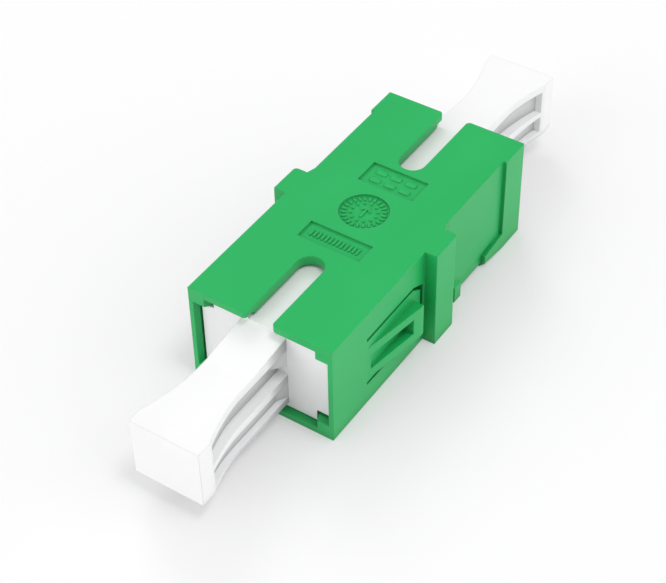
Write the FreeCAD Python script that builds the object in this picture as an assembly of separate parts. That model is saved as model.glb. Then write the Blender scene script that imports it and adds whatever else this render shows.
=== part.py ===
"""SC fibre adapter with a dust cap in each end.

Millimetres. X is the width, Y the length and Z is up. The origin is the centre of the body,
midway between the two mouths. The half at -Y carries the two panel latches, and its mouth
is the near one. The half at +Y has recessed sides behind the flange.
"""

import FreeCAD, Part
import os

V = FreeCAD.Vector

# Body: the moulded tube that two plugs enter from opposite ends
BODY_WIDTH = 12.8
BODY_HEIGHT = 9.3
BODY_LENGTH = 28.0
SIDE_WALL = 0.6
TOP_WALL = 0.9
BODY_EDGE_RADIUS = 0.08
MOUTH_WALL = 0.6
MOUTH_STEP_DEPTH = 1.05
MOUTH_LEAD_IN = 0.2
MOUTH_LEAD_IN_DEPTH = 0.5

# Corner ribs that guide a plug inside the body
PLUG_PORT_WIDTH = 9.5
CORNER_RIB_HEIGHT = 0.65

# Key slot in the top wall, at both ends
KEY_SLOT_WIDTH = 2.3
KEY_SLOT_LENGTH = 7.85
KEY_SLOT_MOUTH_RADIUS = 0.35

# Flange ears that stop the body against a panel
FLANGE_WIDTH = 14.94
FLANGE_FRONT_Y = -1.3
FLANGE_THICKNESS = 2.95
FLANGE_REAR_RADIUS = 0.35
GUSSET_LENGTH = 0.75
GUSSET_WIDTH = 0.24

# Panel latch: a wedge on a tongue that is freed from the side wall by slits
PANEL_GAP = 1.6
LATCH_LENGTH = 6.5
LATCH_TOP_Z = 1.85
LATCH_BOTTOM_Z = -2.4
LATCH_SLIT = 0.3
LATCH_END_SLOT = 0.4
TONGUE_NOSE_LENGTH = 1.0
TONGUE_NOSE_SLOPE = 0.65
WEDGE_RISE = 0.95
WEDGE_TOP_Z = 1.1
WEDGE_TOP_DROP = 0.22
WEDGE_BOTTOM_Z = -2.15
WEDGE_LAND = 0.35
WEDGE_ROOT_GAP = 0.1
WEDGE_POCKET_TOP_Z = 0.2
WEDGE_POCKET_BOTTOM_Z = -1.3
WEDGE_POCKET_START = 0.45
WEDGE_END_WALL = 1.2
WEDGE_POCKET_FLOOR = 0.15

# Recessed sides of the far half, with the full width kept at the end rim
SIDE_RECESS_DEPTH = 0.3
RIM_LENGTH = 2.83
RIM_CORNER_Z = -3.0
RIM_FOOT_LENGTH = 5.6
RIM_FOOT_Z = -3.42
RIM_FOOT_BEVEL = 0.5
RIM_FOOT_BEVEL_LENGTH = 3.2
FAR_CORNER_CHAMFER = 1.55
CLIP_STOP_START = 1.9
CLIP_STOP_LENGTH = 0.95
CLIP_STOP_TOP_Z = -2.9
CLIP_STOP_BEVEL = 0.2

# Shallow recesses in the top face, left bare
RECESS_DEPTH = 0.18
FAR_WINDOW_WIDTH = 5.05
FAR_WINDOW_LENGTH = 2.5
FAR_WINDOW_Y = 4.35
NEAR_WINDOW_WIDTH = 5.6
NEAR_WINDOW_LENGTH = 1.95
NEAR_WINDOW_Y = -3.92
ROUND_RECESS_RADIUS = 2.0
ROUND_RECESS_Y = 0.15

# Inner latch inserts: two alike, back to back at the middle of the body
INSERT_PLATE = 1.2
INSERT_CLEARANCE = 0.1
STOP_RIDGE_LENGTH = 0.8
STOP_RIDGE_HEIGHT = 0.45
SNAP_RAMP_HEIGHT = 0.3
SNAP_RAMP_LENGTH = 1.1
SNAP_RAMP_WIDTH = 1.6
SNAP_RAMP_X = 3.0
SNAP_RAMP_GAP = 0.05

# Split sleeve of ceramic, and the holder tube around it
FERRULE_RADIUS = 1.25
SLEEVE_WALL = 0.35
SLEEVE_LENGTH = 11.4
SLEEVE_SLIT = 0.4
SLEEVE_CLEARANCE = 0.08
HOLDER_WALL = 0.57
HOLDER_LIP_LENGTH = 0.8
HOLDER_LIP_RADIUS = 1.42
HOLDER_MOUTH_BEVEL = 0.3

# Hook arms that hold a plug
HOOK_ARM_X = 3.5
HOOK_ARM_THICKNESS = 0.75
HOOK_ARM_HALF_HEIGHT = 1.3
HOOK_LENGTH = 6.8
HOOK_BARB = 0.6
HOOK_BARB_LAND = 0.4
HOOK_BARB_RAMP = 0.7
HOOK_CATCH_SLOPE = 0.25
HOOK_TIP_BEVEL = 0.25

# Dust cap: plug, stop plate, finger grip and end plate
CAP_PLATE_DEPTH = 0.6
CAP_PLATE_THICKNESS = 0.4
CAP_PLATE_SIDE_GAP = 0.15
CAP_PLATE_TOP_GAP = 0.08
CAP_PLATE_NOTCH_WIDTH = 2.7
CAP_NOTCH_GAP = 0.2
CAP_PLUG_SIDE_GAP = 0.45
CAP_PLUG_TOP_GAP = 0.22
CAP_PLUG_EDGE_RADIUS = 0.3
CAP_PLUG_TIP_GAP = 1.1
CAP_BORE_GAP = 0.15
CAP_HOOK_GAP = 0.15
CAP_END_GAP = 0.4
GRIP_LENGTH = 10.77
GRIP_HALF_WIDTH = 2.0
GRIP_STRAIGHT_LENGTH = 6.2
GRIP_ROOT_TOP_Z = 3.3
GRIP_ROOT_BOTTOM_Z = -3.5
GRIP_WAIST_TOP_Z = 2.72
GRIP_WAIST_BOTTOM_Z = -3.4
GRIP_TAPER_LENGTH = 4.4
UPPER_WEB_HALF_WIDTH = 1.13
LOWER_WEB_HALF_WIDTH = 1.5
UPPER_GROOVE = (2.05, -0.5)
UPPER_GROOVE_AT_END = (2.05, -0.1)
LOWER_GROOVE = (-1.25, -2.85)
LOWER_GROOVE_AT_END = (-0.6, -2.2)
GROOVE_RUN_OUT = 0.55
GROOVE_END_WALL = 0.35
GRIP_GUSSET_LENGTH = 1.0
GRIP_GUSSET_BOTTOM_Z = 0.35
END_PLATE_THICKNESS = 1.31
END_PLATE_HALF_WIDTH = 3.03
END_PLATE_HALF_HEIGHT = 2.68
FLARE_BOW = 0.16

# Places that follow from the sizes above
HALF_WIDTH = BODY_WIDTH / 2
HALF_HEIGHT = BODY_HEIGHT / 2
HALF_LENGTH = BODY_LENGTH / 2
CAVITY_X = HALF_WIDTH - SIDE_WALL
CAVITY_Z = HALF_HEIGHT - TOP_WALL
MOUTH_Z = HALF_HEIGHT - MOUTH_WALL
PORT_X = PLUG_PORT_WIDTH / 2
PORT_Z = CAVITY_Z - CORNER_RIB_HEIGHT
FLANGE_REAR_Y = FLANGE_FRONT_Y + FLANGE_THICKNESS
RECESSED_X = HALF_WIDTH - SIDE_RECESS_DEPTH
LATCH_TIP_Y = FLANGE_FRONT_Y - PANEL_GAP
LATCH_ROOT_Y = LATCH_TIP_Y - LATCH_LENGTH
SLEEVE_RADIUS = FERRULE_RADIUS + SLEEVE_WALL
HOLDER_BORE = SLEEVE_RADIUS + SLEEVE_CLEARANCE
HOLDER_RADIUS = HOLDER_BORE + HOLDER_WALL
HOLDER_POCKET = SLEEVE_LENGTH / 2 + SLEEVE_CLEARANCE
HOLDER_END = HOLDER_POCKET + HOLDER_LIP_LENGTH
HOOK_END = INSERT_PLATE + HOOK_LENGTH
HOOK_BARB_X = HOOK_ARM_X - HOOK_BARB
CAP_PLATE_FRONT = HALF_LENGTH - CAP_PLATE_DEPTH
CAP_PLATE_BACK = CAP_PLATE_FRONT - CAP_PLATE_THICKNESS
CAP_PLATE_X = CAVITY_X - CAP_PLATE_SIDE_GAP
CAP_PLATE_Z = MOUTH_Z - CAP_PLATE_TOP_GAP
CAP_PLUG_X = PORT_X - CAP_PLUG_SIDE_GAP
CAP_PLUG_Z = CAVITY_Z - CAP_PLUG_TOP_GAP
CAP_PLUG_TIP = INSERT_PLATE + CAP_PLUG_TIP_GAP
GRIP_END = CAP_PLATE_FRONT + GRIP_LENGTH
CUT_MARGIN = 1.0


def block(low, high):
    """Box between its lowest and highest corners."""
    sides = [b - a for a, b in zip(low, high)]
    return Part.makeBox(sides[0], sides[1], sides[2], V(*low))


def prism(points, sweep):
    """Flat outline through the points, carried along one vector."""
    corners = [V(*point) for point in points]
    return Part.Face(Part.makePolygon(corners + corners[:1])).extrude(V(*sweep))


def plan_prism(points, low_z, high_z):
    """Outline given in X and Y, carried upwards."""
    return prism([(x, y, low_z) for x, y in points], (0, 0, high_z - low_z))


def side_prism(points, low_x, high_x):
    """Outline given in Y and Z, carried along X."""
    return prism([(low_x, y, z) for y, z in points], (high_x - low_x, 0, 0))


def end_prism(points, low_y, high_y):
    """Outline given in X and Z, carried along Y."""
    return prism([(x, low_y, z) for x, z in points], (0, high_y - low_y, 0))


def rod(radius, low_y, high_y):
    """Round bar on the Y axis."""
    return Part.makeCylinder(radius, high_y - low_y, V(0, low_y, 0), V(0, 1, 0))


def cone(low_radius, high_radius, low_y, high_y):
    """Cone on the Y axis."""
    return Part.makeCone(low_radius, high_radius, high_y - low_y, V(0, low_y, 0), V(0, 1, 0))


def edges_along(shape, direction):
    """Straight edges of a shape that run along a direction."""
    found = []
    for edge in shape.Edges:
        span = edge.Vertexes[-1].Point - edge.Vertexes[0].Point
        if span.Length > 0 and abs(span.dot(direction)) > 0.999 * span.Length:
            found.append(edge)
    return found


def rounded_bar(half_x, half_z, radius, low_y, high_y):
    """Bar along Y whose four long edges are rounded."""
    bar = block((-half_x, low_y, -half_z), (half_x, high_y, half_z))
    return bar.makeFillet(radius, edges_along(bar, V(0, 1, 0)))


def join(shapes):
    """One solid from several that overlap or touch."""
    return shapes[0].multiFuse(shapes[1:]).removeSplitter()


def in_x(shape):
    """Mirror image across the middle plane, from one side to the other."""
    return shape.mirror(V(0, 0, 0), V(1, 0, 0))


def turned(shape):
    """Copy turned half a turn about the vertical axis, for the other end."""
    copy = shape.copy()
    copy.rotate(V(0, 0, 0), V(0, 0, 1), 180)
    return copy


def both_sides(shape):
    """A feature and its mirror image."""
    return [shape, in_x(shape)]


def flange_ear():
    """Ear on the +X side, with a rounded rear edge and a small gusset behind it."""
    ear = block((CAVITY_X, FLANGE_FRONT_Y, -HALF_HEIGHT),
                (FLANGE_WIDTH / 2, FLANGE_REAR_Y, HALF_HEIGHT))
    rear = [edge for edge in edges_along(ear, V(0, 0, 1))
            if edge.CenterOfMass.x > HALF_WIDTH and edge.CenterOfMass.y > FLANGE_FRONT_Y
            and edge.CenterOfMass.y > FLANGE_REAR_Y - FLANGE_REAR_RADIUS]
    ear = ear.makeFillet(FLANGE_REAR_RADIUS, rear)
    inner_x = CAVITY_X + SIDE_RECESS_DEPTH / 2
    gusset = plan_prism([(inner_x, FLANGE_REAR_Y - SIDE_RECESS_DEPTH),
                         (RECESSED_X + GUSSET_WIDTH, FLANGE_REAR_Y - SIDE_RECESS_DEPTH),
                         (RECESSED_X + GUSSET_WIDTH, FLANGE_REAR_Y),
                         (RECESSED_X, FLANGE_REAR_Y + GUSSET_LENGTH),
                         (inner_x, FLANGE_REAR_Y + GUSSET_LENGTH)],
                        CLIP_STOP_TOP_Z, HALF_HEIGHT)
    return join([ear, gusset])


def side_recess():
    """Cutter for the +X side of the far half, which leaves the end rim and the clip stop."""
    top_z = HALF_HEIGHT + CUT_MARGIN
    foot_z = -HALF_HEIGHT - CUT_MARGIN
    rim_y = HALF_LENGTH - RIM_LENGTH
    rim_foot_y = HALF_LENGTH - RIM_FOOT_LENGTH
    outline = [(FLANGE_REAR_Y, top_z), (rim_y, top_z), (rim_y, RIM_CORNER_Z),
               (rim_foot_y, RIM_FOOT_Z), (rim_foot_y, foot_z), (FLANGE_REAR_Y, foot_z)]
    flank = side_prism(outline, RECESSED_X, HALF_WIDTH + CUT_MARGIN)
    reach = RECESSED_X + CUT_MARGIN
    corner = end_prism([(reach, -HALF_HEIGHT + FAR_CORNER_CHAMFER + CUT_MARGIN), (reach, foot_z),
                        (RECESSED_X - FAR_CORNER_CHAMFER - CUT_MARGIN, foot_z)],
                       FLANGE_REAR_Y, HALF_LENGTH)
    bevel = side_prism(outline, CAVITY_X - FAR_CORNER_CHAMFER, reach).common(corner)
    stop_y = FLANGE_REAR_Y + CLIP_STOP_START
    stop = end_prism([(0, foot_z), (reach, foot_z), (reach, CLIP_STOP_TOP_Z),
                      (HALF_WIDTH, CLIP_STOP_TOP_Z - CLIP_STOP_BEVEL),
                      (RECESSED_X, CLIP_STOP_TOP_Z), (0, CLIP_STOP_TOP_Z)],
                     stop_y, stop_y + CLIP_STOP_LENGTH)
    return flank.fuse(bevel).cut(stop)


def rim_foot_bevel():
    """Cutter for the lower corner of the +X rim, largest at its foot and run out along it."""
    foot_y = HALF_LENGTH - RIM_FOOT_LENGTH
    low_x = HALF_WIDTH - RIM_FOOT_BEVEL
    high_z = -HALF_HEIGHT + RIM_FOOT_BEVEL
    corners = [V(HALF_WIDTH + RIM_FOOT_BEVEL, foot_y, high_z + RIM_FOOT_BEVEL),
               V(HALF_WIDTH + RIM_FOOT_BEVEL, foot_y, -HALF_HEIGHT - RIM_FOOT_BEVEL),
               V(low_x - RIM_FOOT_BEVEL, foot_y, -HALF_HEIGHT - RIM_FOOT_BEVEL)]
    outline = Part.makePolygon(corners + corners[:1])
    tip = Part.Vertex(V(HALF_WIDTH, foot_y + RIM_FOOT_BEVEL_LENGTH, -HALF_HEIGHT))
    return Part.makeLoft([outline, tip], True, True)


def key_slot():
    """Cutter for the near key slot: rounded inner end and flared mouth corners."""
    half = KEY_SLOT_WIDTH / 2
    low_z = CAVITY_Z - CORNER_RIB_HEIGHT
    high_z = HALF_HEIGHT + CUT_MARGIN
    inner_y = -HALF_LENGTH + KEY_SLOT_LENGTH - half
    run = block((-half, -HALF_LENGTH - CUT_MARGIN, low_z), (half, inner_y, high_z))
    end = Part.makeCylinder(half, high_z - low_z, V(0, inner_y, low_z), V(0, 0, 1))
    radius = KEY_SLOT_MOUTH_RADIUS
    mouth = block((-half - radius, -HALF_LENGTH - CUT_MARGIN, low_z),
                  (half + radius, -HALF_LENGTH + radius, high_z))
    for side in (-1, 1):
        centre = V(side * (half + radius), -HALF_LENGTH + radius, low_z)
        mouth = mouth.cut(Part.makeCylinder(radius, high_z - low_z, centre, V(0, 0, 1)))
    return join([run, end, mouth])


def latch_wedge():
    """Hollow wedge on the +X tongue: it rises and narrows towards the flange and ends square."""
    start_y = LATCH_ROOT_Y + WEDGE_ROOT_GAP
    top_x = HALF_WIDTH + WEDGE_RISE
    seat_x = HALF_WIDTH - SIDE_WALL / 2
    plan = plan_prism([(seat_x, start_y), (HALF_WIDTH, start_y),
                       (top_x, LATCH_TIP_Y - WEDGE_LAND), (top_x, LATCH_TIP_Y),
                       (seat_x, LATCH_TIP_Y)], WEDGE_BOTTOM_Z, WEDGE_TOP_Z)
    side = side_prism([(start_y, WEDGE_BOTTOM_Z), (LATCH_TIP_Y, WEDGE_BOTTOM_Z),
                       (LATCH_TIP_Y, WEDGE_TOP_Z - WEDGE_TOP_DROP), (start_y, WEDGE_TOP_Z)],
                      seat_x, top_x)
    wedge = plan.common(side)
    pocket = block((HALF_WIDTH - WEDGE_POCKET_FLOOR, LATCH_ROOT_Y + WEDGE_POCKET_START,
                    WEDGE_POCKET_BOTTOM_Z),
                   (top_x + CUT_MARGIN, LATCH_TIP_Y - WEDGE_END_WALL, WEDGE_POCKET_TOP_Z))
    return wedge, pocket


def latch_outline(slit, nose_slit):
    """Side outline of the tongue with its sloped nose, grown by the slit around it."""
    high_z = LATCH_TOP_Z + slit
    low_z = LATCH_BOTTOM_Z - slit
    nose_y = LATCH_TIP_Y + TONGUE_NOSE_LENGTH + nose_slit
    return [(LATCH_ROOT_Y, high_z), (LATCH_TIP_Y, high_z), (nose_y, high_z - TONGUE_NOSE_SLOPE),
            (nose_y, low_z + TONGUE_NOSE_SLOPE), (LATCH_TIP_Y, low_z), (LATCH_ROOT_Y, low_z)]


def latch_slits():
    """Cutter that frees the +X tongue above, below and round its nose."""
    low_x = CAVITY_X - CUT_MARGIN / 2
    high_x = HALF_WIDTH + WEDGE_RISE
    hole = side_prism(latch_outline(LATCH_SLIT, LATCH_END_SLOT), low_x, high_x)
    tongue = side_prism(latch_outline(0, 0), low_x, high_x)
    return hole.cut(tongue)


def corner_ribs():
    """Four guide ribs along the inside corners, for the whole length."""
    ribs = []
    for side in (-1, 1):
        for level in (-1, 1):
            xs = sorted((side * PORT_X, side * (CAVITY_X + SIDE_WALL / 3)))
            zs = sorted((level * PORT_Z, level * (MOUTH_Z + MOUTH_WALL / 3)))
            ribs.append(block((xs[0], -HALF_LENGTH, zs[0]), (xs[1], HALF_LENGTH, zs[1])))
    return ribs


def stop_ridge():
    """Ridge round the inside, on the near side of the inserts, that they are pushed up to."""
    low_y = -INSERT_PLATE - STOP_RIDGE_LENGTH
    outer = block((-CAVITY_X - SIDE_WALL / 3, low_y, -CAVITY_Z - TOP_WALL / 3),
                  (CAVITY_X + SIDE_WALL / 3, -INSERT_PLATE, CAVITY_Z + TOP_WALL / 3))
    inner = block((-CAVITY_X + STOP_RIDGE_HEIGHT, low_y - CUT_MARGIN, -CAVITY_Z + STOP_RIDGE_HEIGHT),
                  (CAVITY_X - STOP_RIDGE_HEIGHT, 0, CAVITY_Z - STOP_RIDGE_HEIGHT))
    return outer.cut(inner)


def snap_ramps():
    """Four ramps on the top and bottom walls that hold the inserts from the far side."""
    face_y = INSERT_PLATE + SNAP_RAMP_GAP
    ramps = []
    for level in (-1, 1):
        root_z = level * (CAVITY_Z + TOP_WALL / 3)
        crest_z = level * (CAVITY_Z - SNAP_RAMP_HEIGHT)
        wall_z = level * CAVITY_Z
        outline = [(face_y, root_z), (face_y, crest_z), (face_y + SNAP_RAMP_GAP, crest_z),
                   (face_y + SNAP_RAMP_LENGTH, wall_z), (face_y + SNAP_RAMP_LENGTH, root_z)]
        for middle_x in (-SNAP_RAMP_X, SNAP_RAMP_X):
            ramps.append(side_prism(outline, middle_x - SNAP_RAMP_WIDTH / 2,
                                    middle_x + SNAP_RAMP_WIDTH / 2))
    return ramps


def mouth_lead_in():
    """Cutter that bevels the inner edges of the near mouth."""
    depth_y = -HALF_LENGTH + MOUTH_LEAD_IN_DEPTH
    spread = MOUTH_LEAD_IN / MOUTH_LEAD_IN_DEPTH
    wires = []
    for y in (-HALF_LENGTH - CUT_MARGIN, depth_y):
        grow = (depth_y - y) * spread
        half_x = PORT_X + grow
        half_z = PORT_Z + grow
        edge_x = CAVITY_X + grow
        edge_z = MOUTH_Z
        points = [(half_x, edge_z), (half_x, half_z), (edge_x, half_z), (edge_x, -half_z),
                  (half_x, -half_z), (half_x, -edge_z), (-half_x, -edge_z), (-half_x, -half_z),
                  (-edge_x, -half_z), (-edge_x, half_z), (-half_x, half_z), (-half_x, edge_z)]
        corners = [V(x, y, z) for x, z in points]
        wires.append(Part.makePolygon(corners + corners[:1]))
    return Part.makeLoft(wires, True, True)


def top_recesses():
    """Cutters for the two windows and the round field in the top face."""
    floor_z = HALF_HEIGHT - RECESS_DEPTH
    high_z = HALF_HEIGHT + CUT_MARGIN
    cutters = []
    for width, length, middle_y in ((FAR_WINDOW_WIDTH, FAR_WINDOW_LENGTH, FAR_WINDOW_Y),
                                    (NEAR_WINDOW_WIDTH, NEAR_WINDOW_LENGTH, NEAR_WINDOW_Y)):
        cutters.append(block((-width / 2, middle_y - length / 2, floor_z),
                             (width / 2, middle_y + length / 2, high_z)))
    cutters.append(Part.makeCylinder(ROUND_RECESS_RADIUS, high_z - floor_z,
                                     V(0, ROUND_RECESS_Y, floor_z), V(0, 0, 1)))
    return cutters


def outer_housing():
    """The one moulding that everything else sits in."""
    body = rounded_bar(HALF_WIDTH, HALF_HEIGHT, BODY_EDGE_RADIUS, -HALF_LENGTH, HALF_LENGTH)
    body = body.cut(both_sides(side_recess()) + both_sides(rim_foot_bevel()))
    wedge, pocket = latch_wedge()
    body = join([body] + both_sides(flange_ear()) + both_sides(wedge))
    cavity = block((-CAVITY_X, -HALF_LENGTH - CUT_MARGIN, -CAVITY_Z),
                   (CAVITY_X, HALF_LENGTH + CUT_MARGIN, CAVITY_Z))
    step = block((-CAVITY_X, -HALF_LENGTH - CUT_MARGIN, -MOUTH_Z),
                 (CAVITY_X, -HALF_LENGTH + MOUTH_STEP_DEPTH, MOUTH_Z))
    body = body.cut([cavity, step, turned(step)])
    body = join([body, stop_ridge()] + corner_ribs() + snap_ramps())
    cutters = both_sides(latch_slits()) + both_sides(pocket) + top_recesses()
    for slot in (key_slot(), mouth_lead_in()):
        cutters += [slot, turned(slot)]
    return body.cut(cutters).removeSplitter()


def insert_hook():
    """Springy arm on the +X side of the near insert, with its barb turned inwards."""
    outer_x = HOOK_ARM_X + HOOK_ARM_THICKNESS
    tip_y = -HOOK_END
    land_y = tip_y + HOOK_BARB_RAMP
    catch_y = land_y + HOOK_BARB_LAND
    outline = [(HOOK_ARM_X, -INSERT_PLATE / 2), (outer_x, -INSERT_PLATE / 2),
               (outer_x, tip_y + HOOK_TIP_BEVEL), (outer_x - HOOK_TIP_BEVEL, tip_y),
               (HOOK_ARM_X, tip_y), (HOOK_BARB_X, land_y),
               (HOOK_BARB_X, catch_y), (HOOK_ARM_X, catch_y + HOOK_CATCH_SLOPE)]
    return plan_prism(outline, -HOOK_ARM_HALF_HEIGHT, HOOK_ARM_HALF_HEIGHT)


def latch_insert():
    """Near insert: plate across the body, holder tube for half the sleeve, and two hooks."""
    plate_x = CAVITY_X - INSERT_CLEARANCE
    plate_z = CAVITY_Z - INSERT_CLEARANCE
    notch_x = PORT_X - INSERT_CLEARANCE
    notch_z = PORT_Z - INSERT_CLEARANCE
    wide = block((-plate_x, -INSERT_PLATE, -notch_z), (plate_x, 0, notch_z))
    tall = block((-notch_x, -INSERT_PLATE, -plate_z), (notch_x, 0, plate_z))
    holder = rod(HOLDER_RADIUS, -HOLDER_END, -INSERT_PLATE / 2)
    hooks = both_sides(insert_hook())
    solid = join([wide, tall, holder] + hooks)
    pocket = rod(HOLDER_BORE, -HOLDER_POCKET, CUT_MARGIN)
    lip = rod(HOLDER_LIP_RADIUS, -HOLDER_END - CUT_MARGIN, 0)
    bevel = cone(HOLDER_LIP_RADIUS + HOLDER_MOUTH_BEVEL, HOLDER_LIP_RADIUS,
                 -HOLDER_END, -HOLDER_END + HOLDER_MOUTH_BEVEL)
    return solid.cut([pocket, lip, bevel]).removeSplitter()


def alignment_sleeve():
    """Ceramic tube that is slit along its length and lines up the two ferrules."""
    half = SLEEVE_LENGTH / 2
    tube = rod(SLEEVE_RADIUS, -half, half)
    bore = rod(FERRULE_RADIUS, -half - CUT_MARGIN, half + CUT_MARGIN)
    slit = block((-SLEEVE_SLIT / 2, -half - CUT_MARGIN, 0),
                 (SLEEVE_SLIT / 2, half + CUT_MARGIN, SLEEVE_RADIUS + CUT_MARGIN))
    return tube.cut([bore, slit])


def cap_plug():
    """Part of the near cap that fills the mouth, hollow round the holder and the hooks."""
    tip_y = -CAP_PLUG_TIP
    plug = rounded_bar(CAP_PLUG_X, CAP_PLUG_Z, CAP_PLUG_EDGE_RADIUS, -CAP_PLATE_FRONT, tip_y)
    bore = rod(HOLDER_RADIUS + CAP_BORE_GAP, -HOLDER_END - CAP_END_GAP, tip_y + CUT_MARGIN)
    channel = block((HOOK_BARB_X - CAP_HOOK_GAP, -HOOK_END - CAP_END_GAP,
                     -HOOK_ARM_HALF_HEIGHT - CAP_HOOK_GAP),
                    (CAP_PLUG_X + CUT_MARGIN, tip_y + CUT_MARGIN,
                     HOOK_ARM_HALF_HEIGHT + CAP_HOOK_GAP))
    return plug.cut([bore] + both_sides(channel))


def cap_plate():
    """Stop plate of the near cap, notched round the corner ribs and below the key slot."""
    notch_x = PORT_X - CAP_NOTCH_GAP
    notch_z = PORT_Z - CAP_NOTCH_GAP
    wide = block((-CAP_PLATE_X, -CAP_PLATE_FRONT, -notch_z), (CAP_PLATE_X, -CAP_PLATE_BACK, notch_z))
    tall = block((-notch_x, -CAP_PLATE_FRONT, -CAP_PLATE_Z), (notch_x, -CAP_PLATE_BACK, CAP_PLATE_Z))
    half = CAP_PLATE_NOTCH_WIDTH / 2
    notch = block((-half, -HALF_LENGTH, GRIP_ROOT_TOP_Z), (half, 0, MOUTH_Z))
    return [wide, tall.cut(notch)]


def grip_plan(half_width, end_half_width, gusset_length=0):
    """Outline from above: straight and flared by an arc, with a gusset at the root if asked."""
    root_y = -CAP_PLATE_FRONT + CAP_PLATE_THICKNESS / 2
    root_half_width = GRIP_HALF_WIDTH if gusset_length else half_width
    flare_y = -CAP_PLATE_FRONT - GRIP_STRAIGHT_LENGTH
    middle = V((half_width + end_half_width) / 2 - FLARE_BOW, (flare_y - GRIP_END) / 2, 0)
    arc_end = V(end_half_width, -GRIP_END, 0)
    bow = Part.Arc(V(half_width, flare_y, 0), middle, arc_end).toShape()
    outline = [V(root_half_width, root_y, 0), V(root_half_width, -CAP_PLATE_FRONT, 0)]
    if gusset_length:
        outline.append(V(half_width, -CAP_PLATE_FRONT - gusset_length, 0))
    outline.append(V(half_width, flare_y, 0))
    side = Part.makePolygon(outline).Edges + [bow]
    other = [edge.mirror(V(0, 0, 0), V(1, 0, 0)) for edge in side]
    closing = [Part.makeLine(V(-point.x, point.y, 0), point) for point in (outline[0], arc_end)]
    face = Part.Face(Part.Wire(Part.__sortEdges__(side + other + closing)))
    height = HALF_HEIGHT + CUT_MARGIN
    face.translate(V(0, 0, -height))
    return face.extrude(V(0, 0, 2 * height))


def grip_profile():
    """Outline of the grip from the side: it thins from the stop plate to the end plate."""
    root_y = -CAP_PLATE_FRONT + CAP_PLATE_THICKNESS / 2
    waist_y = -CAP_PLATE_FRONT - GRIP_TAPER_LENGTH
    outline = [(root_y, GRIP_ROOT_TOP_Z), (-CAP_PLATE_FRONT, GRIP_ROOT_TOP_Z),
               (waist_y, GRIP_WAIST_TOP_Z), (-GRIP_END, END_PLATE_HALF_HEIGHT),
               (-GRIP_END, -END_PLATE_HALF_HEIGHT), (waist_y, GRIP_WAIST_BOTTOM_Z),
               (-CAP_PLATE_FRONT, GRIP_ROOT_BOTTOM_Z), (root_y, GRIP_ROOT_BOTTOM_Z)]
    reach = END_PLATE_HALF_WIDTH + CUT_MARGIN
    return side_prism(outline, -reach, reach)


def grip_groove(web_half_width, levels, end_levels):
    """Cutter for one groove on both sides: it ends at a gusset and short of the end plate."""
    flare_y = -CAP_PLATE_FRONT - GRIP_STRAIGHT_LENGTH
    end_y = -GRIP_END + GROOVE_END_WALL
    reach = END_PLATE_HALF_WIDTH + CUT_MARGIN
    band = side_prism([(-CAP_PLATE_FRONT, levels[0]), (flare_y, levels[0]),
                       (end_y, end_levels[0]), (end_y, end_levels[1]),
                       (flare_y, levels[1]), (-CAP_PLATE_FRONT, levels[1])], -reach, reach)
    return band.cut(grip_plan(web_half_width, END_PLATE_HALF_WIDTH - GROOVE_RUN_OUT,
                              GRIP_GUSSET_LENGTH))


def gusset_opening():
    """Cutters for the gaps below the two upper gussets."""
    low_y = -CAP_PLATE_FRONT - GRIP_GUSSET_LENGTH
    gap = block((UPPER_WEB_HALF_WIDTH, low_y, UPPER_GROOVE[1]),
                (GRIP_HALF_WIDTH + CUT_MARGIN, -CAP_PLATE_FRONT, GRIP_GUSSET_BOTTOM_Z))
    return both_sides(gap)


def cap_grip():
    """Three shelves on one web, which spread into the end plate."""
    grip = grip_plan(GRIP_HALF_WIDTH, END_PLATE_HALF_WIDTH).common(grip_profile())
    upper = grip_groove(UPPER_WEB_HALF_WIDTH, UPPER_GROOVE, UPPER_GROOVE_AT_END)
    lower = grip_groove(LOWER_WEB_HALF_WIDTH, LOWER_GROOVE, LOWER_GROOVE_AT_END)
    return grip.cut([upper, lower] + gusset_opening())


def dust_cap():
    """Near dust cap, one moulding."""
    end = block((-END_PLATE_HALF_WIDTH, -GRIP_END - END_PLATE_THICKNESS, -END_PLATE_HALF_HEIGHT),
                (END_PLATE_HALF_WIDTH, -GRIP_END, END_PLATE_HALF_HEIGHT))
    return join([cap_plug(), cap_grip(), end] + cap_plate())


def main():
    """Write one solid for each piece."""
    cap = dust_cap()
    insert = latch_insert()
    pieces = {
        "outer_housing": outer_housing(),
        "latch_insert_near": insert,
        "latch_insert_far": turned(insert),
        "alignment_sleeve": alignment_sleeve(),
        "dust_cap_near": cap,
        "dust_cap_far": turned(cap),
    }
    os.makedirs("parts", exist_ok=True)
    for name, shape in pieces.items():
        solid = shape.Solids[0] if len(shape.Solids) == 1 else shape
        solid.exportStep(os.path.join("parts", name + ".step"))
        print(name, len(shape.Solids), "solid", round(shape.Volume, 3), "mm3", shape.isValid())


main()
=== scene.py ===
"""Looks, light and camera for a simplex fibre adapter with a dust cap in each mouth.

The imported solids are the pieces. This file dresses them in moulded plastic and ceramic, adds the
fine relief in the shallow recesses of the top face, and sets a pale floor, soft light and the
camera. Lengths are in metres; X is the width, Y the length and Z is up.
"""

import logging
import math
from dataclasses import dataclass
from enum import Enum
from typing import Any

import bpy
import numpy as np
from mathutils import Matrix, Vector


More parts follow.
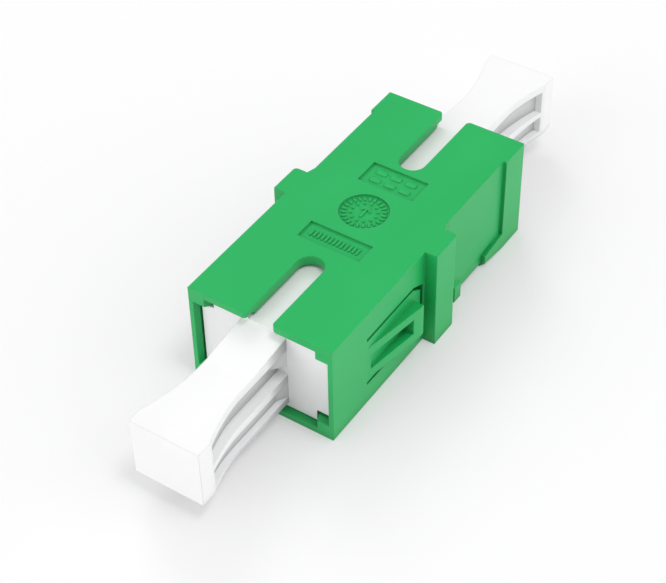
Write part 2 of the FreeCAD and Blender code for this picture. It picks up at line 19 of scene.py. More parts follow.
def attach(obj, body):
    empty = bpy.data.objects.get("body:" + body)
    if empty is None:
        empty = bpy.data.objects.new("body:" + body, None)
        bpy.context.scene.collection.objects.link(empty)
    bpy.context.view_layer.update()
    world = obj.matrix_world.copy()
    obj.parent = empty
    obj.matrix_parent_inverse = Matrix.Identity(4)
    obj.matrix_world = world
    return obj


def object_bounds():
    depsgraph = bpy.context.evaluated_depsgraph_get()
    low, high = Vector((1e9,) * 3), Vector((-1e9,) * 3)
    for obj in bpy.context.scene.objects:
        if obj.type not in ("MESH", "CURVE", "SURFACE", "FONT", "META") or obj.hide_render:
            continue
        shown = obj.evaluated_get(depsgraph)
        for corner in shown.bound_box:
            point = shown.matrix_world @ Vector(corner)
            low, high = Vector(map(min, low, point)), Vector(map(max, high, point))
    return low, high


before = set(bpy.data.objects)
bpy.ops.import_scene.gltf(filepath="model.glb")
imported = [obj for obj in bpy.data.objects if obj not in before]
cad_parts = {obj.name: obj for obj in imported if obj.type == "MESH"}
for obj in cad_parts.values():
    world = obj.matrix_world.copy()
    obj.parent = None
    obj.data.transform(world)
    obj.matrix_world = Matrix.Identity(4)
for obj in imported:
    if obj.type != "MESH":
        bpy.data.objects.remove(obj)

LOG = logging.getLogger("adapter")
MM = 0.001
CAD_BOX = [[float(value) for value in corner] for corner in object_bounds()]
BEVEL_SAMPLES = 6
RECESS_SAMPLES = 8
PIGMENT_STRETCH = (1.0, 0.35, 1.0)
Colour = tuple[float, float, float, float]
Place = tuple[float, float]


class Packed(Enum):
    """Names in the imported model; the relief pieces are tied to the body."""

    BODY = "adapter"
    SLOT = "housing_plastic"


class Relief(Enum):
    """Names of the relief pieces that this file adds."""

    DIAL = "round_recess_relief"
    FAR_WINDOW = "far_window_relief"
    NEAR_WINDOW = "near_window_relief"


def srgb(red: int, green: int, blue: int) -> Colour:
    """Turn an eight-bit sRGB colour into linear values with full alpha.

    Args:
        red: Red, 0 to 255.
        green: Green, 0 to 255.
        blue: Blue, 0 to 255.

    Returns:
        Linear red, green and blue, and an alpha of 1.
    """
    channels = np.array([red, green, blue]) / 255.0
    linear = np.where(channels <= 0.04045, channels / 12.92, ((channels + 0.055) / 1.055) ** 2.4)
    return float(linear[0]), float(linear[1]), float(linear[2]), 1.0


@dataclass
class NodeGraph:
    """A node tree with short ways to add and join nodes.

    Args:
        tree: The node tree that is written to.
    """

    tree: bpy.types.NodeTree

    def add(self, kind: str, values: dict[str, Any] | None = None,
            **settings: Any) -> bpy.types.Node:
        """Add a node.

        Args:
            kind: Type of the node.
            values: Default value of each named input.
            settings: Attributes of the node itself, set first.

        Returns:
            The new node.
        """
        node = self.tree.nodes.new(kind)
        for label, value in settings.items():
            setattr(node, label, value)
        for label, value in (values or {}).items():
            node.inputs[label].default_value = value
        return node

    def join(self, source: bpy.types.Node, output: str | int, target: bpy.types.Node,
             socket: str | int) -> None:
        """Link an output of one node to an input of another.

        Args:
            source: Node that gives the value.
            output: Name or number of its output.
            target: Node that takes the value.
            socket: Name or number of its input.
        """
        self.tree.links.new(source.outputs[output], target.inputs[socket])

    def lean(self, base: bpy.types.Node | Colour, mask: bpy.types.Node, output: str,
             colour: Colour, share: float) -> bpy.types.Node:
        """Lean a colour towards another where a mask says so.

        Args:
            base: Colour so far, linear, or the mix node that gives it.
            mask: Node that gives the mask.
            output: Name of the mask's output.
            colour: Colour to lean to, linear.
            share: How far to lean where the mask is 1.

        Returns:
            The mix node that gives the new colour.
        """
        scaled = self.add("ShaderNodeMath", operation="MULTIPLY")
        scaled.inputs[1].default_value = share
        self.join(mask, output, scaled, 0)
        mix = self.add("ShaderNodeMix", {"B": colour}, data_type="RGBA")
        self.join(scaled, "Value", mix, "Factor")
        if isinstance(base, bpy.types.Node):
            self.join(base, "Result", mix, "A")
        else:
            mix.inputs["A"].default_value = base
        return mix


def new_group(name: str, inputs: dict[str, float], outputs: dict[str, str]) -> NodeGraph:
    """Make an empty shader node group with named float inputs and named outputs.

    Args:
        name: Name of the group.
        inputs: Each input's name and default value.
        outputs: Each output's name and socket type.

    Returns:
        The group's graph, with nodes named "in" and "out" in place.
    """
    tree = bpy.data.node_groups.new(name, "ShaderNodeTree")
    for label, value in inputs.items():
        socket = tree.interface.new_socket(label, in_out="INPUT", socket_type="NodeSocketFloat")
        socket.default_value = value
    for label, kind in outputs.items():
        tree.interface.new_socket(label, in_out="OUTPUT", socket_type=kind)
    tree.nodes.new("NodeGroupInput").name = "in"
    tree.nodes.new("NodeGroupOutput").name = "out"
    return NodeGraph(tree)


def grain_group() -> bpy.types.NodeTree:
    """Fine moulded grain: layered noise on Object coordinates.

    Returns:
        A group that gives the grain's height, from 0 to 1.
    """
    graph = new_group("moulded_grain", {"Grains per metre": 6000.0}, {"Height": "NodeSocketFloat"})
    nodes = graph.tree.nodes
    place = graph.add("ShaderNodeTexCoord")
    noise = graph.add("ShaderNodeTexNoise", {"Detail": 3.0, "Roughness": 0.6})
    graph.join(place, "Object", noise, "Vector")
    graph.join(nodes["in"], "Grains per metre", noise, "Scale")
    graph.join(noise, "Fac", nodes["out"], "Height")
    return graph.tree


def flow_group() -> bpy.types.NodeTree:
    """Slow change of tone that pigment shows after it has flowed along a mould.

    Returns:
        A group that gives a tone from 0 to 1, stretched along the length of the part.
    """
    graph = new_group("pigment_flow", {"Waves per metre": 160.0}, {"Tone": "NodeSocketFloat"})
    nodes = graph.tree.nodes
    place = graph.add("ShaderNodeTexCoord")
    stretch = graph.add("ShaderNodeMapping", {"Scale": PIGMENT_STRETCH})
    noise = graph.add("ShaderNodeTexNoise", {"Detail": 2.0, "Distortion": 0.4})
    remap = graph.add("ShaderNodeMapRange", {"From Min": 0.3, "From Max": 0.7})
    graph.join(place, "Object", stretch, "Vector")
    graph.join(stretch, "Vector", noise, "Vector")
    graph.join(nodes["in"], "Waves per metre", noise, "Scale")
    graph.join(noise, "Fac", remap, "Value")
    graph.join(remap, "Result", nodes["out"], "Tone")
    return graph.tree


def soft_edge_group() -> bpy.types.NodeTree:
    """Small radius that every moulded edge has, and a mask that is 1 on the edges.

    The mask is how far the rounded normal leans away from the flat one, for a painted highlight.

    Returns:
        A group that gives the rounded normal and the mask of the painted edge highlight.
    """
    graph = new_group("moulded_edge", {"Radius": 0.0001, "Mask gain": 3.0},
                      {"Normal": "NodeSocketVector", "Edge highlight": "NodeSocketFloat"})
    nodes = graph.tree.nodes
    bevel = graph.add("ShaderNodeBevel", samples=BEVEL_SAMPLES)
    flat = graph.add("ShaderNodeNewGeometry")
    lean = graph.add("ShaderNodeVectorMath", operation="DISTANCE")
    gain = graph.add("ShaderNodeMath", operation="MULTIPLY", use_clamp=True)
    graph.join(nodes["in"], "Radius", bevel, "Radius")
    graph.join(bevel, "Normal", lean, 0)
    graph.join(flat, "Normal", lean, 1)
    graph.join(lean, "Value", gain, 0)
    graph.join(nodes["in"], "Mask gain", gain, 1)
    graph.join(bevel, "Normal", nodes["out"], "Normal")
    graph.join(gain, "Value", nodes["out"], "Edge highlight")
    return graph.tree


def painted_shade_group() -> bpy.types.NodeTree:
    """Painted shade in grooves and inner corners, as a mask.

    The mask is how much of the sky a point can't see within the reach, raised to the power.
    Only sideways faces keep it all: it is multiplied by 1 - s * (1 - |normal x|), s the third
    input.

    Returns:
        A group that gives the mask of the painted shade, 1 far into a groove and 0 in the open.
    """
    graph = new_group("painted_recess_shade", {"Reach": 0.001, "Power": 1.5, "Sideways only": 0.0},
                      {"Mask": "NodeSocketFloat"})
    nodes = graph.tree.nodes
    open_sky = graph.add("ShaderNodeAmbientOcclusion", samples=RECESS_SAMPLES)
    closed = graph.add("ShaderNodeMath", operation="SUBTRACT", use_clamp=True)
    closed.inputs[0].default_value = 1.0
    power = graph.add("ShaderNodeMath", operation="POWER", use_clamp=True)
    graph.join(nodes["in"], "Reach", open_sky, "Distance")
    graph.join(open_sky, "AO", closed, 1)
    graph.join(closed, "Value", power, 0)
    graph.join(nodes["in"], "Power", power, 1)
    flat = graph.add("ShaderNodeNewGeometry")
    parts = graph.add("ShaderNodeSeparateXYZ")
    sideways = graph.add("ShaderNodeMath", operation="ABSOLUTE")
    kept = graph.add("ShaderNodeMapRange")
    shade_kept_elsewhere = graph.add("ShaderNodeMath", operation="SUBTRACT", use_clamp=True)
    shade_kept_elsewhere.inputs[0].default_value = 1.0
    mask = graph.add("ShaderNodeMath", operation="MULTIPLY")
    graph.join(flat, "Normal", parts, "Vector")
    graph.join(parts, "X", sideways, 0)
    graph.join(nodes["in"], "Sideways only", shade_kept_elsewhere, 1)
    graph.join(sideways, "Value", kept, "Value")
    graph.join(shade_kept_elsewhere, "Value", kept, "To Min")
    graph.join(power, "Value", mask, 0)
    graph.join(kept, "Result", mask, 1)
    graph.join(mask, "Value", nodes["out"], "Mask")
    return graph.tree


@dataclass(frozen=True)
class Effects:
    """The shared node groups, each built once.

    Args:
        grain: Fine moulded grain.
        flow: Slow change of tone.
        edge: Rounded edges, and the mask of their painted highlight.
        recess: Painted shade in grooves and inner corners.
    """

    grain: bpy.types.NodeTree
    flow: bpy.types.NodeTree
    edge: bpy.types.NodeTree
    recess: bpy.types.NodeTree


@dataclass(frozen=True)
class MouldedFinish:
    """A moulded plastic or fired ceramic surface.

    Args:
        name: Name of the material.
        colour: Main colour, linear.
        pale: Colour where the pigment is thinner, linear.
        edge: Colour of the painted highlight that the edges lean to, linear.
        edge_highlight_share: How far the edges lean to it, 0 to 1.
        painted_shade: Colour of the painted shade in grooves and inner corners, linear.
        painted_shade_share: How far they lean to it, 0 to 1.
        painted_shade_reach: How wide a groove may be to count, in metres.
        painted_shade_power: Below 1 for shallow grooves to count too, above 1 for sunken ones
            only.
        painted_shade_sideways_only: Share of painted shade taken off faces not looking sideways.
        thrown: Colour that it throws on things around it instead of its own, linear.
        thrown_share: How far the thrown light leans to it, 0 to 1.
        thrown_from: Distance at which that starts, in metres; nearer things get its own colour.
        thrown_to: Distance at which it is whole, in metres.
        roughness: Roughness of the smooth face.
        roughness_spread: How much the grain varies the roughness.
        grain_per_metre: Grains in a metre.
        grain_depth: Height of the grain in metres.
        edge_radius: Radius of the moulded edges in metres.
        ior: Index of refraction.
        subsurface: Weight of the light that enters and spreads.
        subsurface_scale: Distance that this light spreads, in metres.
    """

    name: str
    colour: Colour
    pale: Colour
    edge: Colour
    edge_highlight_share: float
    painted_shade: Colour
    painted_shade_share: float
    painted_shade_reach: float
    roughness: float
    roughness_spread: float
    grain_per_metre: float
    grain_depth: float
    edge_radius: float
    painted_shade_power: float = 1.5
    painted_shade_sideways_only: float = 0.0
    thrown: Colour = (0.8, 0.8, 0.8, 1.0)
    thrown_share: float = 0.0
    thrown_from: float = 0.0015
    thrown_to: float = 0.003
    ior: float = 1.5
    subsurface: float = 0.0
    subsurface_scale: float = 0.0005

    def build(self, effects: Effects) -> bpy.types.Material:
        """Make the material from its values and the shared groups.

        Args:
            effects: The shared node groups.

        Returns:
            The finished material.
        """
        material = bpy.data.materials.new(self.name)
        material.use_nodes = True
        graph = NodeGraph(material.node_tree)
        shader = material.node_tree.nodes["Principled BSDF"]
        shader.inputs["IOR"].default_value = self.ior
        shader.inputs["Subsurface Weight"].default_value = self.subsurface
        shader.inputs["Subsurface Scale"].default_value = self.subsurface_scale
        grain = graph.add("ShaderNodeGroup", {"Grains per metre": self.grain_per_metre},
                          node_tree=effects.grain)
        flow = graph.add("ShaderNodeGroup", node_tree=effects.flow)
        edge = graph.add("ShaderNodeGroup", {"Radius": self.edge_radius}, node_tree=effects.edge)
        recess = graph.add("ShaderNodeGroup",
                           {"Reach": self.painted_shade_reach, "Power": self.painted_shade_power,
                            "Sideways only": self.painted_shade_sideways_only}, node_tree=effects.recess)
        tone = graph.lean(self.colour, flow, "Tone", self.pale, 1.0)
        # Painted highlight: the edges lean to a paler colour.
        rim = graph.lean(tone, edge, "Edge highlight", self.edge, self.edge_highlight_share)
        # Painted shade: grooves and inner corners lean to a darker colour.
        painted_shade = graph.lean(rim, recess, "Mask", self.painted_shade, self.painted_shade_share)
        path = graph.add("ShaderNodeLightPath")
        away = graph.add("ShaderNodeMapRange", {"From Min": self.thrown_from,
                                                "From Max": self.thrown_to})
        cast = graph.add("ShaderNodeMath", operation="MULTIPLY")
        graph.join(path, "Ray Length", away, "Value")
        graph.join(away, "Result", cast, 0)
        graph.join(path, "Is Diffuse Ray", cast, 1)
        shown = graph.lean(painted_shade, cast, "Value", self.thrown, self.thrown_share)
        graph.join(shown, "Result", shader, "Base Color")
        gloss = graph.add("ShaderNodeMapRange", {"To Min": self.roughness - self.roughness_spread,
                                                 "To Max": self.roughness + self.roughness_spread})
        graph.join(grain, "Height", gloss, "Value")
        graph.join(gloss, "Result", shader, "Roughness")
        bump = graph.add("ShaderNodeBump", {"Distance": self.grain_depth})
        graph.join(grain, "Height", bump, "Height")
        graph.join(edge, "Normal", bump, "Normal")
        graph.join(bump, "Normal", shader, "Normal")
        return material


# In each finish the edge colour is a painted highlight and the darkest colour painted shade.
HOUSING_GREEN = MouldedFinish(
    name="green_housing_plastic", colour=srgb(22, 176, 90), pale=srgb(28, 181, 95),
    edge=srgb(60, 196, 118), edge_highlight_share=0.3, painted_shade=srgb(0, 104, 46), painted_shade_share=0.75,
    painted_shade_reach=0.0013, painted_shade_power=1.2, thrown=(0.36, 0.36, 0.36, 1.0), thrown_share=0.9,
    roughness=0.42, roughness_spread=0.05, grain_per_metre=9000.0, grain_depth=0.000004,
    edge_radius=0.00012, ior=1.46)
CAP_WHITE = MouldedFinish(
    name="white_cap_plastic", colour=srgb(246, 246, 247), pale=srgb(249, 249, 249),
    edge=srgb(253, 253, 253), edge_highlight_share=0.3, painted_shade=srgb(96, 96, 98), painted_shade_share=0.85,
    painted_shade_reach=0.0026, painted_shade_power=0.45, painted_shade_sideways_only=1.0, roughness=0.5, roughness_spread=0.05,
    grain_per_metre=7000.0, grain_depth=0.000003, edge_radius=0.00012)
INSERT_IVORY = MouldedFinish(
    name="ivory_insert_plastic", colour=srgb(228, 226, 216), pale=srgb(234, 232, 224),
    edge=srgb(240, 239, 232), edge_highlight_share=0.3, painted_shade=srgb(150, 146, 134), painted_shade_share=0.4,
    painted_shade_reach=0.0008, roughness=0.4, roughness_spread=0.05, grain_per_metre=7000.0,
    grain_depth=0.000002, edge_radius=0.00008, subsurface=0.1)
SLEEVE_CERAMIC = MouldedFinish(
    name="white_sleeve_ceramic", colour=srgb(238, 236, 230), pale=srgb(242, 240, 235),
    edge=srgb(246, 245, 241), edge_highlight_share=0.2, painted_shade=srgb(170, 166, 156), painted_shade_share=0.3,
    painted_shade_reach=0.0005, roughness=0.16, roughness_spread=0.03, grain_per_metre=20000.0,
    grain_depth=0.0000005, edge_radius=0.00005, ior=2.1, subsurface=0.1,
    subsurface_scale=0.0003)


def mesh_object(name: str, points: np.ndarray, faces: np.ndarray) -> bpy.types.Object:
    """Put computed points and four-sided faces into a new mesh object at the origin.

    Args:
        name: Name of the object and its mesh.
        points: Points in metres, one row each.
        faces: Corner numbers of each face, four to a row.

    Returns:
        The new object, linked into the scene.
    """
    mesh = bpy.data.meshes.new(name)
    mesh.vertices.add(len(points))
    mesh.vertices.foreach_set("co", np.ascontiguousarray(points, dtype=np.float32).ravel())
    mesh.loops.add(faces.size)
    mesh.loops.foreach_set("vertex_index", np.ascontiguousarray(faces, dtype=np.int32).ravel())
    mesh.polygons.add(len(faces))
    mesh.polygons.foreach_set("loop_start", np.arange(len(faces), dtype=np.int32) * 4)
    mesh.update(calc_edges=True)
    mesh.validate()
    made = bpy.data.objects.new(name, mesh)
    bpy.context.scene.collection.objects.link(made)
    return made


def shell_faces(count: int, rings: int, columns: int) -> np.ndarray:
    """Faces of closed shells, each a stack of rings whose first and last rings are flat ends.

    The skin joins each ring to the next. Each end is filled by strips that join a point of the
    ring to the point across from it, so the column count is even and no centre point is needed.

    Args:
        count: Number of shells.
        rings: Rings in a shell.
        columns: Points in a ring, an even number.

    Returns:
        Corner numbers of each face, four to a row.
    """
    row, column = np.meshgrid(np.arange(rings - 1), np.arange(columns), indexing="ij")
    after = (column + 1) % columns
    skin = np.stack([row * columns + column, row * columns + after,
                     (row + 1) * columns + after, (row + 1) * columns + column],
                    axis=-1).reshape(-1, 4)
    step = np.arange(columns // 2 - 1)
    strip = np.stack([step, columns - 1 - step, columns - 2 - step, step + 1], axis=-1)
    crest = strip[:, ::-1] + (rings - 1) * columns
    shell = np.concatenate([skin, strip, crest])
    first = np.arange(count)[:, None, None] * rings * columns
    return (shell[None, :, :] + first).reshape(-1, 4)


@dataclass(frozen=True)
class PadSize:
    """Size of a pad in plan.

    Args:
        length: Length in millimetres.
        width: Width in millimetres.
    """

    length: float
    width: float


@dataclass(frozen=True)
class PadRow:
    """Raised pads of one size.

    Args:
        centres: Middle of each pad in millimetres, one row each.
        turns: Turn of each pad in radians.
        size: Size of a pad in plan.
    """

    centres: np.ndarray
    turns: np.ndarray
    size: PadSize


@dataclass
class RecessRelief:
    """Raised pads on the floor of a shallow recess in the top face.

    Args:
        relief: Which piece it is.
        rows: The pads, by size.
        floor_z: Height of the recess floor in millimetres.
        height: Height of the pads above it in millimetres.
        foot: How far the pads reach into the floor in millimetres.
        shoulder: Share of the half width that the crest draws in.
        corner: Power of the super-ellipse in plan, 1 for an ellipse and less for squarer pads.
        columns: Points round a pad.
        rings: Rings from foot to crest.
    """

    relief: Relief
    rows: list[PadRow]
    floor_z: float = 4.47
    height: float = 0.12
    foot: float = 0.03
    shoulder: float = 0.6
    corner: float = 0.5
    columns: int = 28
    rings: int = 6

    def build(self) -> bpy.types.Object:
        """Make the pads as one piece.

        Returns:
            The piece, riding on the adapter.
        """
        points = np.concatenate([self.pads(row) for row in self.rows])
        count = sum(len(row.centres) for row in self.rows)
        faces = shell_faces(count, self.rings, self.columns)
        piece = mesh_object(self.relief.value, points * MM, faces)
        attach(piece, Packed.BODY.value)
        return piece

    def pads(self, row: PadRow) -> np.ndarray:
        """Points of the pads of one size.

        In plan a pad is a super-ellipse: across is |cos t|^corner and along is |sin t|^corner,
        with the signs of cos t and sin t, times the half sizes. From foot to crest the rings rise
        by the sine of a quarter turn and draw in by the shoulder's share of the half width times
        one minus its cosine, so the shoulder is round.

        Args:
            row: The pads.

        Returns:
            Points in millimetres, pad by pad and ring by ring.
        """
        around = np.linspace(0.0, 2.0 * np.pi, self.columns, endpoint=False)
        across = np.sign(np.cos(around)) * np.abs(np.cos(around)) ** self.corner
        along = np.sign(np.sin(around)) * np.abs(np.sin(around)) ** self.corner
        rise = np.linspace(0.0, np.pi / 2, self.rings - 1)
        draw_in = self.shoulder * (row.size.width / 2) * (1.0 - np.cos(rise))
        draw_in = np.concatenate([[0.0], draw_in])[:, None]
        level = self.floor_z + np.concatenate([[-self.foot], self.height * np.sin(rise)])
        flat_x = (row.size.width / 2 - draw_in) * across
        flat_y = (row.size.length / 2 - draw_in) * along
        turn = row.turns[:, None, None]
        x = row.centres[:, 0, None, None] + flat_x * np.cos(turn) - flat_y * np.sin(turn)
        y = row.centres[:, 1, None, None] + flat_x * np.sin(turn) + flat_y * np.cos(turn)
        z = np.broadcast_to(level[None, :, None], x.shape)
        return np.stack([x, y, z], axis=-1).reshape(-1, 3)


@dataclass
class Housing:
    """The green moulding and the plain relief in its three top recesses.

    Args:
        node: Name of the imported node.
        dial_centre: Middle of the round recess in millimetres.
        outer_ticks: Number of ticks in the outer circle.
        outer_radius: Radius of that circle in millimetres.
        outer_tick: Size of its ticks.
        inner_ticks: Number of ticks in the inner circle.
        inner_radius: Radius of that circle in millimetres.
        inner_tick: Size of its ticks.
        pointer: Size of the pointer's shaft.
        barb: Size of a barb of the pointer's head.
        barb_place: Middle of the right barb from the middle of the dial, in millimetres.
        barb_turn: Turn of the right barb in radians.
        far_window_y: Middle of the far window in millimetres.
        far_pad: Size of a pad in it.
        far_pad_step: Distance between its pads in millimetres, across and along.
        near_window_y: Middle of the near window in millimetres.
        near_pad: Size of a pad in it.
        near_pads: Number of pads in it.
        near_pad_reach: Distance from its middle to its last pad in millimetres.
    """

    node: str = "outer_housing"
    dial_centre: Place = (0.0, 0.15)
    outer_ticks: int = 24
    outer_radius: float = 1.6
    outer_tick: PadSize = PadSize(0.46, 0.19)
    inner_ticks: int = 12
    inner_radius: float = 1.07
    inner_tick: PadSize = PadSize(0.26, 0.2)
    pointer: PadSize = PadSize(1.3, 0.24)
    barb: PadSize = PadSize(0.62, 0.22)
    barb_place: Place = (0.22, 0.4)
    barb_turn: float = 0.75
    far_window_y: float = 4.35
    far_pad: PadSize = PadSize(1.02, 0.6)
    far_pad_step: Place = (1.35, 1.0)
    near_window_y: float = -3.92
    near_pad: PadSize = PadSize(0.78, 0.2)
    near_pads: int = 13
    near_pad_reach: float = 2.1

    def build(self) -> list[bpy.types.Object]:
        """Make the relief.

        Returns:
            The relief of the round recess, the far window and the near window.
        """
        return [self.dial(), self.far_window(), self.near_window()]

    def dial(self) -> bpy.types.Object:
        """Plain dial of ticks in two circles round a pointer, as moulds carry.

        A tick stands at the angle a, at the middle plus the radius times (cos a, sin a).

        Returns:
            The relief of the round recess.
        """
        middle = np.array(self.dial_centre)
        barb_x, barb_y = self.barb_place
        pointer = PadRow(middle + np.array([[0.0, 0.0]]), np.array([0.0]), self.pointer)
        head = PadRow(middle + np.array([[-barb_x, barb_y], [barb_x, barb_y]]),
                      np.array([-self.barb_turn, self.barb_turn]), self.barb)
        rows = [self.circle(self.outer_ticks, self.outer_radius, self.outer_tick),
                self.circle(self.inner_ticks, self.inner_radius, self.inner_tick), pointer, head]
        return RecessRelief(Relief.DIAL, rows).build()

    def circle(self, count: int, radius: float, size: PadSize) -> PadRow:
        """Ticks that stand on a circle round the middle of the dial and point outwards.

        Args:
            count: Number of ticks.
            radius: Radius of the circle in millimetres.
            size: Size of a tick.

        Returns:
            The ticks.
        """
        angle = np.arange(count) * 2.0 * np.pi / count
        spokes = np.stack([np.cos(angle), np.sin(angle)], axis=-1)
        return PadRow(np.array(self.dial_centre) + radius * spokes, angle - np.pi / 2, size)

    def far_window(self) -> bpy.types.Object:
        """Six plain pads in two rows.

        Returns:
            The relief of the far window.
        """
        across, along = self.far_pad_step
        places = np.stack(np.meshgrid(across * np.array([-1.0, 0.0, 1.0]),
                                      along * np.array([-0.5, 0.5])), axis=-1).reshape(-1, 2)
        places[:, 1] += self.far_window_y
        rows = [PadRow(places, np.full(len(places), np.pi / 2), self.far_pad)]
        return RecessRelief(Relief.FAR_WINDOW, rows).build()

    def near_window(self) -> bpy.types.Object:
        """One row of upright pads.

        Returns:
            The relief of the near window.
        """
        across = np.linspace(-self.near_pad_reach, self.near_pad_reach, self.near_pads)
        places = np.stack([across, np.full_like(across, self.near_window_y)], axis=-1)
        rows = [PadRow(places, np.zeros(len(places)), self.near_pad)]
        return RecessRelief(Relief.NEAR_WINDOW, rows).build()

    def dress(self, finish: bpy.types.Material) -> None:
        """Give the moulding and its relief their finish.

        Args:
            finish: The green plastic.
        """
        dress_node(self.node, finish)
        for relief in Relief:
            bpy.data.objects[relief.value].data.materials.append(finish)


@dataclass
class DustCap:
    """A white cap in one mouth.

    Args:
        node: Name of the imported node.
    """

    node: str

    def dress(self, finish: bpy.types.Material) -> None:
        """Give the cap its finish.

        Args:
            finish: The white plastic.
        """
        dress_node(self.node, finish)


@dataclass
class InnerCoupling:
    """The two inserts and the sleeve that they hold.

    Args:
        inserts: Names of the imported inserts.
        sleeve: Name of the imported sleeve.
    """

    inserts: tuple[str, str] = ("latch_insert_near", "latch_insert_far")
    sleeve: str = "alignment_sleeve"

    def dress(self, plastic: bpy.types.Material, ceramic: bpy.types.Material) -> None:
        """Give the inserts and the sleeve their finishes.

        Args:
            plastic: The ivory plastic.
            ceramic: The white ceramic.
        """
        for node in self.inserts:
            dress_node(node, plastic)
        dress_node(self.sleeve, ceramic)


def dress_node(node: str, finish: bpy.types.Material) -> None:
    """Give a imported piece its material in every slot.

    Args:
        node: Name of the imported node.
        finish: The finished material.
    """
    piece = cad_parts[node]
    piece.data.materials.clear()
    piece.data.materials.append(finish)
    LOG.info("dressed %s in %s", node, finish.name)


@dataclass
class PaleFloor:
    """Large flat floor that shows nearly white and keeps a light shadow.

    Args:
        size: Length of its side in metres.
        tone: Colour of the open floor.
        shade: Colour of the painted shadow that it leans to where the part stands close over it.
        shade_share: How far it leans to it, 0 to 1.
        shade_reach: How near the part must be to count, in metres.
        shade_power: Below 1 to spread the shade, above 1 to draw it in.
        roughness: Roughness of its face.
        lift: Share of plain white that the camera and reflections see.
    """

    size: float = 4.0
    tone: Colour = (0.93, 0.93, 0.935, 1.0)
    shade: Colour = (0.45, 0.45, 0.46, 1.0)
    shade_share: float = 0.6
    shade_reach: float = 0.008
    shade_power: float = 1.0
    roughness: float = 0.9
    lift: float = 0.3

    def build(self, height: float, effects: Effects) -> bpy.types.Object:
        """Lay the floor under the part.

        Args:
            height: Height of its face in metres.
            effects: The shared node groups.

        Returns:
            The floor.
        """
        half = self.size / 2
        points = np.array([[-half, -half, height], [half, -half, height], [half, half, height],
                           [-half, half, height]])
        floor = mesh_object("floor", points, np.array([[0, 1, 2, 3]]))
        floor.data.materials.append(self.material(effects))
        return floor

    def material(self, effects: Effects) -> bpy.types.Material:
        """Matt floor, mixed with plain white where the camera or a reflection looks at it.

        Args:
            effects: The shared node groups.

        Returns:
            The floor's material.
        """
        material = bpy.data.materials.new("pale_floor")
        material.use_nodes = True
        graph = NodeGraph(material.node_tree)
        nodes = material.node_tree.nodes
        matt = nodes["Principled BSDF"]
        # Painted shadow: the floor leans to a darker colour where the part stands close over it.
        close = graph.add("ShaderNodeGroup",
                          {"Reach": self.shade_reach, "Power": self.shade_power},
                          node_tree=effects.recess)
        tone = graph.lean(self.tone, close, "Mask", self.shade, self.shade_share)
        graph.join(tone, "Result", matt, "Base Color")
        matt.inputs["Roughness"].default_value = self.roughness
        matt.inputs["Specular IOR Level"].default_value = 0.0
        white = graph.add("ShaderNodeEmission", {"Color": (1.0, 1.0, 1.0, 1.0), "Strength": 1.0})
        path = graph.add("ShaderNodeLightPath")
        seen = graph.add("ShaderNodeMath", operation="MAXIMUM")
        seen_through = graph.add("ShaderNodeMath", operation="MAXIMUM")
        share = graph.add("ShaderNodeMath", operation="MULTIPLY")
        share.inputs[1].default_value = self.lift
        mix = graph.add("ShaderNodeMixShader")
        graph.join(path, "Is Camera Ray", seen, 0)
        graph.join(path, "Is Glossy Ray", seen, 1)
        graph.join(seen, "Value", seen_through, 0)
        graph.join(path, "Is Transmission Ray", seen_through, 1)
        graph.join(seen_through, "Value", share, 0)
        graph.join(share, "Value", mix, "Fac")
        graph.join(matt, "BSDF", mix, 1)
        graph.join(white, "Emission", mix, 2)
        graph.join(mix, "Shader", nodes["Material Output"], "Surface")
        return material


@dataclass
class PhotoCamera:
    """Camera at the photograph's viewing angle, solved from the corners of the body.

    Args:
        azimuth: Turn about the vertical axis in degrees; 0 looks along +Y.
        elevation: Angle above the floor in degrees.
        roll: Turn about the viewing direction in degrees.
        distance: Distance from the point looked at, in metres.
        target: Point looked at, in metres.
        lens_mm: Focal length in millimetres.
        sensor_mm: Width of the sensor in millimetres.
        clip: Nearest and farthest distance that it shows, in metres.
    """

    azimuth: float = 34.410
    elevation: float = 43.701
    roll: float = -1.234
    distance: float = 0.134003
    target: tuple[float, float, float] = (0.000196, -0.004622, 0.0)
    lens_mm: float = 93.694
    sensor_mm: float = 36.0
    clip: tuple[float, float] = (0.005, 10.0)

    def build(self) -> bpy.types.Object:
        """Place the camera and make it the scene's own.

        Returns:
            The camera object.
        """
        azimuth, elevation = math.radians(self.azimuth), math.radians(self.elevation)
        back = Vector((math.sin(azimuth) * math.cos(elevation),
                       -math.cos(azimuth) * math.cos(elevation), math.sin(elevation)))
        right = Vector((0.0, 0.0, 1.0)).cross(back).normalized()
        up = back.cross(right)
        turn = math.radians(self.roll)
        rolled_right = right * math.cos(turn) + up * math.sin(turn)
        rolled_up = up * math.cos(turn) - right * math.sin(turn)
        data = bpy.data.cameras.new("photo_camera")
        data.lens = self.lens_mm
        data.sensor_width = self.sensor_mm
        data.clip_start, data.clip_end = self.clip
        camera = bpy.data.objects.new("photo_camera", data)
        axes = Matrix((rolled_right, rolled_up, back)).transposed().to_4x4()
        camera.matrix_world = Matrix.Translation(Vector(self.target) + back * self.distance) @ axes
        bpy.context.scene.collection.objects.link(camera)
        bpy.context.scene.camera = camera
        return camera


@dataclass(frozen=True)
class Lamp:
    """A far lamp.

    Args:
        name: Name of the lamp.
        strength: Strength in watts per square metre.
        spread: Angle of its disc in degrees, for soft shadows.
        travel: Direction in which its light travels.
        gleams: Whether smooth faces reflect it.
    """

    name: str
    strength: float
    spread: float
    travel: tuple[float, float, float]
    gleams: bool = True


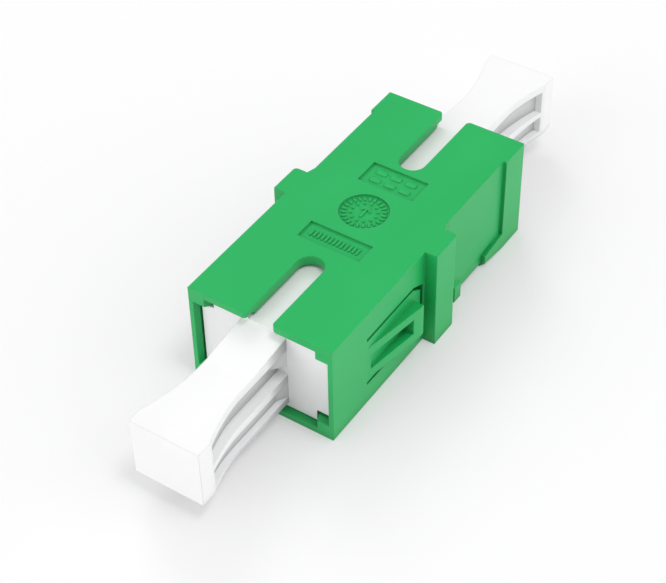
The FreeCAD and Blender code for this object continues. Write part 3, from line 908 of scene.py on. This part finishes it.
@dataclass
class SoftStudio:
    """Plain soft light: a pale world, lamps high on either side and wide ones all round.

    Args:
        world_strength: Strength of the world's even light.
        lamps: The lamps.
    """

    world_strength: float = 0.47
    lamps: tuple[Lamp, ...] = (
        Lamp("key_from_left", 0.52, 24.0, (0.95, -0.85, -1.0), gleams=False),
        Lamp("wide_from_left", 0.25, 60.0, (1.0, -0.2, -1.1)),
        Lamp("high_from_right", 0.72, 16.0, (-0.34, 0.0, -1.0)),
        Lamp("wide_from_right", 1.05, 70.0, (-1.0, -0.25, -0.3)),
        Lamp("wide_from_front", 1.25, 60.0, (0.45, 1.0, -0.3)),
    )

    def build(self) -> None:
        """Set the world and add the lamps."""
        world = bpy.data.worlds.new("pale_world")
        world.use_nodes = True
        background = world.node_tree.nodes["Background"]
        background.inputs["Color"].default_value = (1.0, 1.0, 1.0, 1.0)
        background.inputs["Strength"].default_value = self.world_strength
        bpy.context.scene.world = world
        for lamp in self.lamps:
            data = bpy.data.lights.new(lamp.name, "SUN")
            data.energy = lamp.strength
            data.angle = math.radians(lamp.spread)
            placed = bpy.data.objects.new(lamp.name, data)
            placed.matrix_world = Vector(lamp.travel).to_track_quat("-Z", "Y").to_matrix().to_4x4()
            placed.visible_glossy = lamp.gleams
            bpy.context.scene.collection.objects.link(placed)


def main() -> None:
    """Build the finishes, then each sub-assembly, the stage, the light and the camera."""
    logging.basicConfig(level=logging.INFO, format="%(name)s: %(message)s")
    effects = Effects(grain=grain_group(), flow=flow_group(), edge=soft_edge_group(),
                      recess=painted_shade_group())
    housing = Housing()
    for piece in housing.build():
        LOG.info("built %s, %d faces", piece.name, len(piece.data.polygons))
    housing.dress(HOUSING_GREEN.build(effects))
    white = CAP_WHITE.build(effects)
    DustCap("dust_cap_near").dress(white)
    DustCap("dust_cap_far").dress(white)
    InnerCoupling().dress(INSERT_IVORY.build(effects), SLEEVE_CERAMIC.build(effects))
    PaleFloor().build(CAD_BOX[0][2], effects)
    SoftStudio().build()
    PhotoCamera().build()
    bpy.context.scene.view_settings.view_transform = "Standard"


if __name__ == "__main__":
    main()
